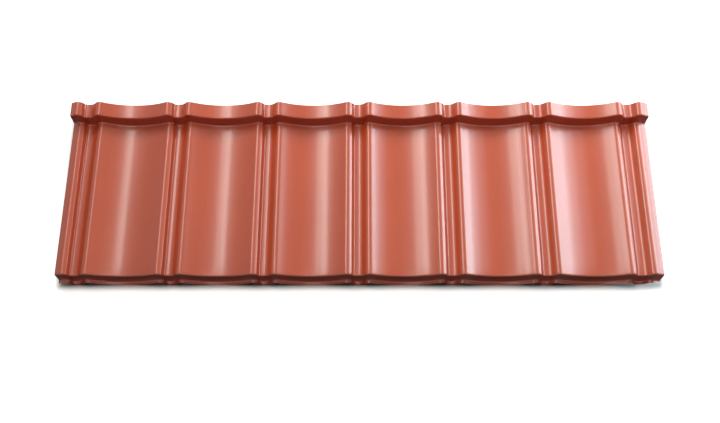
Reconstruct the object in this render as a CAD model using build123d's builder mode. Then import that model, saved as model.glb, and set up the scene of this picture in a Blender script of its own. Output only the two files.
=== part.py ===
from build123d import *
from math import asin, atan2, cos, degrees, pi, radians, sin, tan
import os

os.makedirs("parts", exist_ok=True)

# Tile effect roofing sheet: one pressed and prepainted steel sheet.
# X runs across the waves, Y up the roof slope, Z up. All sizes in millimetres.

# Waves across the sheet
cover_width = 1100.0
wave_count = 6
pan_depth = 19.0
left_lap = 13.5
right_lap = 18.5

# Rib between two pans: two rounded crests, and a groove between them whose left side
# falls gently over a shoulder and then steeply down a wall
crest_spacing = 44.5
crest_radius = 10.0
groove_depth = 14.3
shoulder_angle = 30.0
shoulder_length = 4.5
wall_angle = 68.0
left_valley_radius = 7.0
right_flank_angle = 52.0
right_valley_radius = 14.0

# Tile courses along the sheet, each falling back from its nose to the next step
course_length = 330.0
step_height = 30.0
step_lean = 3.5
head_lap = 30.0
toe_length = 7.0
nose_radius = 3.0
foot_radius = 3.0

# Short flats that make up each bend, few because every bend runs across all the waves
bend_flats = 1

sheet_thickness = 0.5

# Room by which the cutting form runs past the sheet on every side
overrun = 20.0

wave_pitch = cover_width / wave_count
fall = step_height / (course_length - step_lean)

# The pan is one arc, tangent to the crest arcs on both of its sides
half_pan = (wave_pitch - crest_spacing) / 2
pan_radius = (half_pan**2 + pan_depth**2) / (2 * pan_depth) - crest_radius
pan_end_angle = degrees(asin(half_pan / (pan_radius + crest_radius)))

# Edges of the sheet, measured from the first rib and from the lower nose
left_edge = -crest_spacing / 2 - left_lap
right_edge = cover_width + crest_spacing / 2 + right_lap
front_edge = -step_lean - toe_length
back_edge = course_length + head_lap


def arc_size(radius, angle):
    """Width and height of an arc that turns by an angle away from level."""
    return radius * sin(radians(angle)), radius * (1 - cos(radians(angle)))


# Left side of the groove: crest, shoulder, wall and valley
crest_width, crest_fall = arc_size(crest_radius, shoulder_angle)
valley_width, valley_fall = arc_size(left_valley_radius, wall_angle)
shoulder_fall = shoulder_length * sin(radians(shoulder_angle))
wall_fall = groove_depth - crest_fall - shoulder_fall - valley_fall
wall_length = wall_fall / sin(radians(wall_angle))
left_width = crest_width + valley_width + shoulder_fall / tan(radians(shoulder_angle))
left_width += wall_fall / tan(radians(wall_angle))

# Right side of the groove: valley, straight flank and crest
arcs_width, arcs_fall = arc_size(crest_radius + right_valley_radius, right_flank_angle)
flank_length = (groove_depth - arcs_fall) / sin(radians(right_flank_angle))
right_width = arcs_width + flank_length * cos(radians(right_flank_angle))

floor_width = crest_spacing - left_width - right_width


def course_line(inset, room):
    """Courses seen from the side, front to back: falling stretches, joined by leaning steps."""
    shift = inset * tan(pi / 4 - atan2(step_lean, step_height) / 2)
    corners = [Vector(0, front_edge - room, (front_edge + step_lean - room) * -fall)]
    for nose in (0, course_length):
        corners.append(Vector(0, nose - step_lean + shift, shift * -fall))
        corners.append(Vector(0, nose + shift, step_height + shift * -fall))
    corners.append(Vector(0, back_edge + room, step_height + (head_lap + room) * -fall))

    points = [corners[0]]
    for before, corner, after in zip(corners, corners[1:], corners[2:]):
        arrive = (corner - before).normalized()
        leave = (after - corner).normalized()
        turn = arrive.get_signed_angle(leave, Vector(1, 0, 0))
        at_foot = turn > 0
        radius = foot_radius + inset if at_foot else nose_radius - inset
        half_turn = radians(abs(turn)) / 2
        centre = corner + (leave - arrive).normalized() * (radius / cos(half_turn))
        spoke = corner - arrive * (radius * tan(half_turn)) - centre
        for flat in range(bend_flats + 1):
            points.append(centre + spoke.rotate(Axis.X, turn * flat / bend_flats))
    points.append(corners[-1])
    with BuildLine() as line:
        Polyline(*points)
    return line.line


def wave_section(start, inset, room):
    """Filled section under the waves, on the upright plane through the line's start."""
    depth = pan_depth + step_height + room
    with BuildSketch(Plane(origin=start, x_dir=(1, 0, 0), z_dir=(0, -1, 0))) as section:
        with BuildLine():
            last = JernArc((-wave_pitch / 2, -pan_depth), (1, 0), pan_radius, pan_end_angle)
            first_point = last @ 0
            for rib in range(wave_count + 1):
                crest = JernArc(last @ 1, last % 1, crest_radius, -pan_end_angle - shoulder_angle)
                shoulder = Line(crest @ 1, crest @ 1 + (crest % 1) * shoulder_length)
                wall = PolarLine(shoulder @ 1, wall_length, -wall_angle)
                valley = JernArc(wall @ 1, wall % 1, left_valley_radius, wall_angle)
                floor = Line(valley @ 1, valley @ 1 + (valley % 1) * floor_width)
                valley = JernArc(floor @ 1, floor % 1, right_valley_radius, right_flank_angle)
                flank = Line(valley @ 1, valley @ 1 + (valley % 1) * flank_length)
                crest = JernArc(flank @ 1, flank % 1, crest_radius, -right_flank_angle - pan_end_angle)
                pan_turn = pan_end_angle if rib == wave_count else 2 * pan_end_angle
                last = JernArc(crest @ 1, crest % 1, pan_radius, pan_turn)
            last_point = last @ 1
            Polyline(last_point, (last_point.X, -depth), (first_point.X, -depth), first_point)
        make_face()
        if inset > 0:
            offset(amount=-inset, kind=Kind.INTERSECTION)
        else:
            with Locations(((left_edge + right_edge) / 2, 0)):
                Rectangle(right_edge - left_edge, 3 * depth, mode=Mode.INTERSECT)
    return section.sketch


def pressed_form(inset):
    """Form under the courses, up to the sheet's top face, or to its underside with an inset."""
    room = overrun if inset > 0 else 0
    line = course_line(inset, room)
    with BuildPart() as form:
        sweep(wave_section(line @ 0, inset, room), path=line, normal=(0, 1, 0))
    return form.part


# The sheet is what is left between its top face and its underside
with BuildPart() as pressing:
    add(pressed_form(0))
    add(pressed_form(sheet_thickness), mode=Mode.SUBTRACT)

# The finished sheet stands on the floor, centred on its own footprint
box = pressing.part.bounding_box()
with BuildPart() as roofing_sheet:
    add(Pos(-box.center().X, -box.center().Y, -box.min.Z) * pressing.part)

roofing_sheet.part.label = "roofing_sheet"
export_step(roofing_sheet.part, "parts/roofing_sheet.step")

size = roofing_sheet.part.bounding_box().size
print("overall", round(size.X, 2), round(size.Y, 2), round(size.Z, 2))
print("solids", len(roofing_sheet.part.solids()), "volume", round(roofing_sheet.part.volume))
print("pan radius", round(pan_radius, 1), "wall", round(wall_length, 2), "floor", round(floor_width, 2))
print("left side of the groove", round(left_width, 2))
print("moved by", round(-box.center().X, 3), round(-box.center().Y, 3), round(-box.min.Z, 3))
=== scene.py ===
from math import asin, atan2, ceil, cos, pi, radians, sin, tan

import bmesh
import bpy
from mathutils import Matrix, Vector


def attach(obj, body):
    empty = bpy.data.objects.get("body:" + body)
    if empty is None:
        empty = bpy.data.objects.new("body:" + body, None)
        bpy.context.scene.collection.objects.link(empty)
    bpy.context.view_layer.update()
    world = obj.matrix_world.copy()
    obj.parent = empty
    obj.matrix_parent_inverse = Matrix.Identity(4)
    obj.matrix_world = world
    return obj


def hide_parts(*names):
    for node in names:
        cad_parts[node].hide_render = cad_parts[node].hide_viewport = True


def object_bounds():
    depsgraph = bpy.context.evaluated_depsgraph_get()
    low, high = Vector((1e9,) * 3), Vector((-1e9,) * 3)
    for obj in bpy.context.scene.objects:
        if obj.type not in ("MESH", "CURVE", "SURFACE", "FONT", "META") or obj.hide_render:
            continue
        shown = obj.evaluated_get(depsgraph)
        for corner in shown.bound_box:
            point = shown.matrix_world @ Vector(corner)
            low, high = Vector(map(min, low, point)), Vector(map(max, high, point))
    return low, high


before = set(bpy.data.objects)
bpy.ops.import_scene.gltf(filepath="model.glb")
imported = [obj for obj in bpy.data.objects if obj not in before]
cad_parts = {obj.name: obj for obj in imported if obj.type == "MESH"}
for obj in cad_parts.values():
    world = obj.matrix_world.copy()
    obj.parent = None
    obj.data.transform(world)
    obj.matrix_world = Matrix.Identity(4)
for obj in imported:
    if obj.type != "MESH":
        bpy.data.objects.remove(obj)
cad_low, cad_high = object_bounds()

MM = 0.001

# Waves across the sheet
COVER_WIDTH = 1100 * MM
WAVE_COUNT = 6
PAN_DEPTH = 19 * MM
LEFT_LAP = 13.5 * MM
RIGHT_LAP = 18.5 * MM

# Rib between two pans: two crests, and between them a groove with a shoulder on its left
CREST_SPACING = 44.5 * MM
CREST_RADIUS = 10 * MM
GROOVE_DEPTH = 14.3 * MM
SHOULDER_ANGLE = radians(30)
SHOULDER_LENGTH = 4.5 * MM
SHOULDER_BEND_RADIUS = 1.5 * MM
LEFT_FLANK_ANGLE = radians(68)
LEFT_VALLEY_RADIUS = 7 * MM
RIGHT_FLANK_ANGLE = radians(52)
RIGHT_VALLEY_RADIUS = 14 * MM

# Tile courses along the sheet
COURSE_LENGTH = 330 * MM
STEP_HEIGHT = 30 * MM
STEP_LEAN = 3.5 * MM
HEAD_LAP = 30 * MM
TOE_LENGTH = 7 * MM
BEND_RADIUS = 3 * MM
THICKNESS = 0.5 * MM

WAVE_PITCH = COVER_WIDTH / WAVE_COUNT
FALL = STEP_HEIGHT / (COURSE_LENGTH - STEP_LEAN)

# Fineness of the mesh: arcs turn by at most a step between two points, and have two flats or more
ARC_STEP = radians(9)
PAN_STEP = radians(2.4)
FEWEST_FLATS = 2
COURSE_ROWS = 14


def arc_points(start, radius, turn, step):
    """Points along an arc after its start. Each point is a place, a height and a heading."""
    across, height, heading = start
    count = max(FEWEST_FLATS, ceil(round(abs(turn) / step, 3)))
    reach = radius if turn > 0 else -radius
    points = []
    for i in range(1, count + 1):
        angle = heading + turn * i / count
        place = across + reach * (sin(angle) - sin(heading))
        points.append((place, height - reach * (cos(angle) - cos(heading)), angle))
    return points


def arc_width(radius, before, after):
    """Width of an arc between two slopes."""
    return radius * abs(sin(after) - sin(before))


def arc_height(radius, before, after):
    """Height of an arc between two slopes."""
    return radius * abs(cos(after) - cos(before))


def left_side():
    """Bends from the left crest down to the groove's floor: radius, slope after it, straight stretch."""
    trim = SHOULDER_BEND_RADIUS * tan((LEFT_FLANK_ANGLE - SHOULDER_ANGLE) / 2)
    return [
        (CREST_RADIUS, -SHOULDER_ANGLE, SHOULDER_LENGTH - trim),
        (SHOULDER_BEND_RADIUS, -LEFT_FLANK_ANGLE, None),
        (LEFT_VALLEY_RADIUS, 0, 0),
    ]


def right_side():
    """Bends from the groove's floor up to the right crest."""
    return [
        (RIGHT_VALLEY_RADIUS, RIGHT_FLANK_ANGLE, None),
        (CREST_RADIUS, 0, 0),
    ]


def settled(bends):
    """The bends with their one open stretch made to fit the groove's depth, and their width."""
    height, width, slope = 0, 0, 0
    for radius, after, length in bends:
        height += arc_height(radius, slope, after)
        width += arc_width(radius, slope, after)
        if length is None:
            steep = abs(after)
        else:
            height += length * sin(abs(after))
            width += length * cos(after)
        slope = after
    stretch = (GROOVE_DEPTH - height) / sin(steep)
    whole = [(radius, after, stretch if length is None else length) for radius, after, length in bends]
    return whole, width + stretch * cos(steep)


def wave_points():
    """Points (x, height, heading) across the sheet, measured from the first rib and its crests."""
    half_pan = (WAVE_PITCH - CREST_SPACING) / 2
    pan_radius = (half_pan**2 + PAN_DEPTH**2) / (2 * PAN_DEPTH) - CREST_RADIUS
    pan_angle = asin(half_pan / (pan_radius + CREST_RADIUS))
    left_bends, left_width = settled(left_side())
    right_bends, right_width = settled(right_side())
    points = [(-WAVE_PITCH / 2, -PAN_DEPTH, 0.0)]

    def bend(radius, turn, step=ARC_STEP):
        points.extend(arc_points(points[-1], radius, turn, step))

    def straight(length):
        x, height, heading = points[-1]
        points.append((x + length * cos(heading), height + length * sin(heading), heading))

    def follow(bends):
        for radius, slope, length in bends:
            heading = points[-1][-1]
            bend(radius, slope - heading)
            if length > 0:
                straight(length)

    bend(pan_radius, pan_angle, PAN_STEP)
    for rib in range(WAVE_COUNT + 1):
        bend(CREST_RADIUS, -pan_angle)
        follow(left_bends)
        straight(CREST_SPACING - left_width - right_width)
        follow(right_bends)
        bend(CREST_RADIUS, -pan_angle)
        bend(pan_radius, pan_angle if rib == WAVE_COUNT else 2 * pan_angle, PAN_STEP)
    left = -CREST_SPACING / 2 - LEFT_LAP
    right = COVER_WIDTH + CREST_SPACING / 2 + RIGHT_LAP
    return clipped(points, left, right)


def clipped(points, low, high):
    """The points between two limits of their first value, with new ones on the limits."""
    kept = []
    for a, b in zip(points, points[1:]):
        for limit in (low, high):
            if a[0] < limit < b[0]:
                share = (limit - a[0]) / (b[0] - a[0])
                kept.append(part_way(a, b, share))
        if low < b[0] < high:
            kept.append(b)
    return kept


def part_way(a, b, share):
    """The point that is a share of the way from one point to another."""
    return tuple(p + (q - p) * share for p, q in zip(a, b))


def between(a, b):
    """Evenly spaced points inside a long straight stretch of the course."""
    rows = int(COURSE_ROWS * abs(b[0] - a[0]) / COURSE_LENGTH)
    return [part_way(a, b, i / (rows + 1)) for i in range(1, rows + 1)]


def course_points():
    """Points (y, height, heading) from the toe to the head, measured from the lower nose."""
    corners = [(-STEP_LEAN - TOE_LENGTH, TOE_LENGTH * FALL)]
    for nose in (0, COURSE_LENGTH):
        corners += [(nose - STEP_LEAN, 0), (nose, STEP_HEIGHT)]
    corners.append((COURSE_LENGTH + HEAD_LAP, STEP_HEIGHT - HEAD_LAP * FALL))
    headings = [atan2(b[1] - a[1], b[0] - a[0]) for a, b in zip(corners, corners[1:])]
    points = [(*corners[0], headings[0])]
    for corner, before, after in zip(corners[1:-1], headings, headings[1:]):
        turn = after - before
        reach = BEND_RADIUS * tan(abs(turn) / 2)
        start = (corner[0] - reach * cos(before), corner[1] - reach * sin(before), before)
        points += between(points[-1], start)
        points.append(start)
        points += arc_points(start, BEND_RADIUS, turn, ARC_STEP)
    end = (*corners[-1], headings[-1])
    points += between(points[-1], end)
    points.append(end)
    return points


def sheet_rows():
    """Rows of places across the top face and across the underside, from the toe to the head."""
    wave = wave_points()
    course = course_points()
    middle = Vector(((wave[0][0] + wave[-1][0]) / 2, (course[0][0] + course[-1][0]) / 2, 0))
    top, under = [], []
    for y, rise, climb in course:
        top_row, under_row = [], []
        for x, height, heading in wave:
            normal = Vector((-tan(heading), -tan(climb), 1)).normalized()
            place = Vector((x, y, height + rise)) - middle
            top_row.append(place)
            under_row.append(place - normal * THICKNESS)
        top.append(top_row)
        under.append(under_row)
    lowest = min(place.z for row in under for place in row)
    for row in top + under:
        for place in row:
            place.z -= lowest
            keep_in_cad_box(place)
    return top, under


def keep_in_cad_box(place):
    """Move a place that is just outside the CAD model's box onto the box."""
    for axis in range(3):
        place[axis] = min(max(place[axis], cad_low[axis]), cad_high[axis])


# Material slots of the sheet's mesh, in the order in which the materials are added
TOP_FACE, UNDERSIDE, CUT_EDGE = range(3)


def sheet_mesh():
    """The sheet as one closed thin shell: top face, underside and cut edges."""
    mesh = bmesh.new()
    top, under = [[[mesh.verts.new(place) for place in row] for row in rows] for rows in sheet_rows()]

    def strip(first, second, material, flip):
        faces = []
        for i in range(len(first) - 1):
            corners = [first[i], first[i + 1], second[i + 1], second[i]]
            face = mesh.faces.new(corners[::-1] if flip else corners)
            face.material_index = material
            faces.append(face)
        return faces

    for rows, material, flip in ((top, TOP_FACE, False), (under, UNDERSIDE, True)):
        for low, high in zip(rows, rows[1:]):
            for face in strip(low, high, material, flip):
                face.smooth = True
    rims = [
        (top[0], under[0], True),
        (top[-1], under[-1], False),
        ([row[0] for row in top], [row[0] for row in under], False),
        ([row[-1] for row in top], [row[-1] for row in under], True),
    ]
    for upper, lower, flip in rims:
        for face in strip(upper, lower, CUT_EDGE, flip):
            for edge in face.edges:
                edge.smooth = False
    data = bpy.data.meshes.new("roofing_sheet_skin")
    mesh.to_mesh(data)
    mesh.free()
    return data


def new_material(name):
    """A node material, with its node tree and its shader."""
    material = bpy.data.materials.new(name)
    material.use_nodes = True
    tree = material.node_tree
    return material, tree, tree.nodes["Principled BSDF"]


def grey(level):
    """A grey of one level."""
    return (level, level, level, 1)


def noise(tree, scale, detail=3.0, density=(1, 1, 1)):
    """Noise in metres, drawn out along an axis where its density is below 1."""
    coords = tree.nodes.new("ShaderNodeTexCoord")
    mapping = tree.nodes.new("ShaderNodeMapping")
    mapping.inputs["Scale"].default_value = density
    texture = tree.nodes.new("ShaderNodeTexNoise")
    texture.inputs["Scale"].default_value = scale
    texture.inputs["Detail"].default_value = detail
    tree.links.new(coords.outputs["Object"], mapping.inputs["Vector"])
    tree.links.new(mapping.outputs["Vector"], texture.inputs["Vector"])
    return texture.outputs["Fac"]


def ramp(tree, source, low, high):
    """Colour that runs between two stops, each a position and a colour."""
    node = tree.nodes.new("ShaderNodeValToRGB")
    for element, (position, colour) in zip(node.color_ramp.elements, (low, high)):
        element.position = position
        element.color = colour
    tree.links.new(source, node.inputs["Fac"])
    return node.outputs["Color"]


def bump(tree, source, strength, distance):
    """Surface normal that a height texture makes."""
    node = tree.nodes.new("ShaderNodeBump")
    node.inputs["Strength"].default_value = strength
    node.inputs["Distance"].default_value = distance
    tree.links.new(source, node.inputs["Height"])
    return node.outputs["Normal"]


def brick_red_paint():
    """Satin polyester coil coating: brick red, with faint drift in tone and slight waviness."""
    material, tree, shader = new_material("brick_red_paint")
    darker = (0.455, 0.056, 0.010, 1)
    lighter = (0.488, 0.063, 0.013, 1)
    tone = ramp(tree, noise(tree, scale=9.0), (0.3, darker), (0.7, lighter))
    gloss = ramp(tree, noise(tree, scale=60.0, detail=4.0), (0.3, grey(0.34)), (0.7, grey(0.38)))
    waves = noise(tree, scale=14.0, detail=1.0, density=(1, 0.35, 1))
    tree.links.new(tone, shader.inputs["Base Color"])
    tree.links.new(gloss, shader.inputs["Roughness"])
    tree.links.new(bump(tree, waves, strength=0.25, distance=2 * MM), shader.inputs["Normal"])
    shader.inputs["IOR"].default_value = 1.5
    shader.inputs["Coat Weight"].default_value = 0.6
    shader.inputs["Coat Roughness"].default_value = 0.17
    shader.inputs["Coat IOR"].default_value = 1.5
    return material


def grey_backing_coat():
    """Thin matt backing coat on the underside."""
    material, tree, shader = new_material("grey_backing_coat")
    darker = (0.42, 0.41, 0.38, 1)
    lighter = (0.48, 0.47, 0.44, 1)
    tone = ramp(tree, noise(tree, scale=30.0), (0.3, darker), (0.7, lighter))
    gloss = ramp(tree, noise(tree, scale=90.0), (0.3, grey(0.5)), (0.7, grey(0.62)))
    grain = noise(tree, scale=900.0, detail=2.0)
    tree.links.new(tone, shader.inputs["Base Color"])
    tree.links.new(gloss, shader.inputs["Roughness"])
    tree.links.new(bump(tree, grain, strength=0.06, distance=0.2 * MM), shader.inputs["Normal"])
    return material


def cut_steel():
    """Sheared edge: bare steel between thin zinc layers."""
    material, tree, shader = new_material("cut_steel")
    darker = (0.34, 0.33, 0.32, 1)
    lighter = (0.55, 0.54, 0.53, 1)
    tone = ramp(tree, noise(tree, scale=700.0), (0.35, darker), (0.65, lighter))
    gloss = ramp(tree, noise(tree, scale=400.0), (0.3, grey(0.35)), (0.7, grey(0.5)))
    tree.links.new(tone, shader.inputs["Base Color"])
    tree.links.new(gloss, shader.inputs["Roughness"])
    shader.inputs["Metallic"].default_value = 1.0
    return material


def make_sheet():
    """The visible sheet, which stands for its CAD node."""
    sheet = bpy.data.objects.new("roofing_sheet_visual", sheet_mesh())
    for material in (brick_red_paint(), grey_backing_coat(), cut_steel()):
        sheet.data.materials.append(material)
    bpy.context.scene.collection.objects.link(sheet)
    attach(sheet, "root")
    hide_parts("roofing_sheet")


def math_node(tree, operation, first, second=0.0):
    """Output of a math node whose inputs are outputs of other nodes, or plain numbers."""
    node = tree.nodes.new("ShaderNodeMath")
    node.operation = operation
    for socket, value in zip(node.inputs, (first, second)):
        if isinstance(value, (int, float)):
            socket.default_value = value
        else:
            tree.links.new(value, socket)
    return node.outputs["Value"]


def seen_and_reflected(tree):
    """1 for camera rays, and 1 for glossy and transmission rays. Rays that only carry light get 0."""
    path = tree.nodes.new("ShaderNodeLightPath")
    glossy, transmitted = path.outputs["Is Glossy Ray"], path.outputs["Is Transmission Ray"]
    return path.outputs["Is Camera Ray"], math_node(tree, "MAXIMUM", glossy, transmitted)


def distance_from_sheet(tree):
    """Distance on the floor from the sheet's footprint, which is centred on the origin."""
    place = tree.nodes.new("ShaderNodeNewGeometry")
    split = tree.nodes.new("ShaderNodeSeparateXYZ")
    tree.links.new(place.outputs["Position"], split.inputs["Vector"])
    squares = []
    for axis, half in (("X", cad_high.x), ("Y", cad_high.y)):
        offset = math_node(tree, "ABSOLUTE", split.outputs[axis])
        beyond = math_node(tree, "SUBTRACT", offset, half)
        squares.append(math_node(tree, "POWER", math_node(tree, "MAXIMUM", beyond, 0.0), 2.0))
    return math_node(tree, "SQRT", math_node(tree, "ADD", *squares))


def past_painted_shadow(tree, distance, width):
    """0 at the sheet, and 1 from the outer limit of the painted shadow on."""
    fade = tree.nodes.new("ShaderNodeMapRange")
    fade.interpolation_type = "SMOOTHSTEP"
    fade.inputs["From Max"].default_value = width
    tree.links.new(distance, fade.inputs["Value"])
    return fade.outputs["Result"]


# Floor: its colour to the camera, and its darker colour to every other ray
FLOOR_SIZE = 14.0
FLOOR_SEEN = (0.92, 0.86, 0.81, 1)
FLOOR_BOUNCE = (0.15, 0.15, 0.15, 1)

# Glow of the floor near the sheet, and how far from the sheet it is the full white of 1
FLOOR_GLOW = 0.75
WHITE_FROM = 1.5

# Widths of the soft shadow that the glow leaves round the sheet: a painted shadow, laid over the floor's
# real shadow
SEEN_PAINTED_SHADOW_WIDTH = 16 * MM
REFLECTED_PAINTED_SHADOW_WIDTH = 200 * MM


def pale_floor():
    """White to the camera and in reflections, by a glow that no other rays meet.

    The glow fades in from the sheet's footprint. This paints a soft shadow round the sheet over its real
    one, and a wider painted shade in the sheet's reflections of the floor.
    """
    material, tree, shader = new_material("pale_floor")
    seen, reflected = seen_and_reflected(tree)
    colour = tree.nodes.new("ShaderNodeMix")
    colour.data_type = "RGBA"
    colour.inputs["A"].default_value = FLOOR_BOUNCE
    colour.inputs["B"].default_value = FLOOR_SEEN
    tree.links.new(seen, colour.inputs["Factor"])
    tree.links.new(colour.outputs["Result"], shader.inputs["Base Color"])
    shader.inputs["Roughness"].default_value = 0.9
    shader.inputs["Specular IOR Level"].default_value = 0.0

    distance = distance_from_sheet(tree)
    strength = tree.nodes.new("ShaderNodeMapRange")
    strength.inputs["From Max"].default_value = WHITE_FROM
    strength.inputs["To Min"].default_value = FLOOR_GLOW
    tree.links.new(distance, strength.inputs["Value"])
    # Painted shadow: the glow is held back by distance from the sheet, not by any light falling on the
    # floor
    seen_part = math_node(tree, "MULTIPLY", seen, past_painted_shadow(tree, distance, SEEN_PAINTED_SHADOW_WIDTH))
    reflected_fade = past_painted_shadow(tree, distance, REFLECTED_PAINTED_SHADOW_WIDTH)
    reflected_part = math_node(tree, "MULTIPLY", reflected, reflected_fade)
    share = math_node(tree, "ADD", seen_part, reflected_part)
    glow = math_node(tree, "MULTIPLY", share, strength.outputs["Result"])
    shader.inputs["Emission Color"].default_value = (1, 1, 1, 1)
    tree.links.new(glow, shader.inputs["Emission Strength"])
    return material


def make_floor():
    """Plain square floor, which isn't part of the object."""
    data = bpy.data.meshes.new("floor")
    half = FLOOR_SIZE / 2
    corners = [(-half, -half, 0), (half, -half, 0), (half, half, 0), (-half, half, 0)]
    data.from_pydata(corners, [], [(0, 1, 2, 3)])
    data.materials.append(pale_floor())
    floor = bpy.data.objects.new("floor", data)
    bpy.context.scene.collection.objects.link(floor)


# Light that the white surroundings throw on the sheet
WORLD_FILL = 0.02


def make_world():
    """Surroundings: white to the camera and in reflections, and a faint light otherwise."""
    world = bpy.data.worlds.new("surroundings")
    world.use_nodes = True
    tree = world.node_tree
    background = tree.nodes["Background"]
    background.inputs["Color"].default_value = (1, 1, 1, 1)
    strength = tree.nodes.new("ShaderNodeMapRange")
    strength.inputs["To Min"].default_value = WORLD_FILL
    strength.inputs["To Max"].default_value = 1.0
    tree.links.new(math_node(tree, "MAXIMUM", *seen_and_reflected(tree)), strength.inputs["Value"])
    tree.links.new(strength.outputs["Result"], background.inputs["Strength"])
    bpy.context.scene.world = world


# Tints of the lamps on the left, on the right and above
LEFT_TINT = (0.95, 1.0, 0.95)
RIGHT_TINT = (0.72, 0.90, 1.0)
UPPER_TINT = (1.0, 0.97, 0.95)


def panel_lamp(name, outer, inner, front, back, brightness, colour):
    """Flat soft lamp between two lines (x, z) along the slope, from front to back (y).

    It shines towards the sheet, and is as bright to look at as its brightness says.
    """
    across = Vector((inner[0] - outer[0], 0, inner[1] - outer[1]))
    middle = Vector(((inner[0] + outer[0]) / 2, (front + back) / 2, (inner[1] + outer[1]) / 2))
    shine = Vector((-across.z, 0, across.x)).normalized()
    if shine.dot(middle) > 0:
        shine.negate()
    lamp = bpy.data.lights.new(name, "AREA")
    lamp.shape = "RECTANGLE"
    lamp.size = across.length
    lamp.size_y = back - front
    lamp.energy = pi * lamp.size * lamp.size_y * brightness
    lamp.color = colour
    holder = bpy.data.objects.new(name, lamp)
    holder.location = middle
    holder.rotation_euler = (0, atan2(-shine.x, -shine.z), 0)
    bpy.context.scene.collection.objects.link(holder)


def make_lamps():
    """Lamps whose reflections lie where the photograph has them.

    A panel on the left dims upwards, a window stands far off on the right, a strip nearer on the
    right dims inwards, and two lamps light the whole sheet from above, one of them from behind.
    """
    panel_lamp("left_panel", (-0.68, 1.05), (-0.60, 1.35), 0.25, 1.4, 8.5, LEFT_TINT)
    panel_lamp("left_panel_dim", (-0.60, 1.35), (-0.42, 1.95), 0.4, 1.9, 4.3, LEFT_TINT)
    panel_lamp("right_window", (2.77, 0.48), (2.43, 1.42), 0.3, 2.4, 9.0, RIGHT_TINT)
    panel_lamp("right_strip", (1.36, 0.62), (1.10, 0.65), 0.1, 1.3, 7.0, RIGHT_TINT)
    panel_lamp("right_strip_dim", (1.10, 0.65), (0.85, 0.68), 0.1, 1.3, 3.5, RIGHT_TINT)
    panel_lamp("right_strip_faint", (0.85, 0.68), (0.60, 0.71), 0.1, 1.3, 1.2, RIGHT_TINT)
    panel_lamp("back_light", (-1.7, 2.1), (-0.1, 2.3), 2.2, 3.4, 11.0, UPPER_TINT)
    panel_lamp("top_light", (-0.9, 2.2), (0.2, 2.2), -0.35, 0.45, 3.5, UPPER_TINT)


# Camera, from the places of the ribs and steps in the photograph. The lens and sensor are in
# Blender's own millimetres.
CAMERA_TARGET = (0.0007, -0.0415, 0.0249)
CAMERA_ELEVATION = radians(73.3)
CAMERA_DISTANCE = 1.809
CAMERA_LENS = 45.5
SENSOR_WIDTH = 36


def make_camera():
    """Camera that looks down on the sheet from the front."""
    data = bpy.data.cameras.new("camera")
    data.sensor_width = SENSOR_WIDTH
    data.lens = CAMERA_LENS
    camera = bpy.data.objects.new("camera", data)
    away = Vector((0, -cos(CAMERA_ELEVATION), sin(CAMERA_ELEVATION)))
    camera.location = Vector(CAMERA_TARGET) + away * CAMERA_DISTANCE
    camera.rotation_euler = (pi / 2 - CAMERA_ELEVATION, 0, 0)
    bpy.context.scene.collection.objects.link(camera)
    bpy.context.scene.camera = camera


make_sheet()
make_floor()
make_world()
make_lamps()
make_camera()
bpy.context.scene.view_settings.view_transform = "Standard"
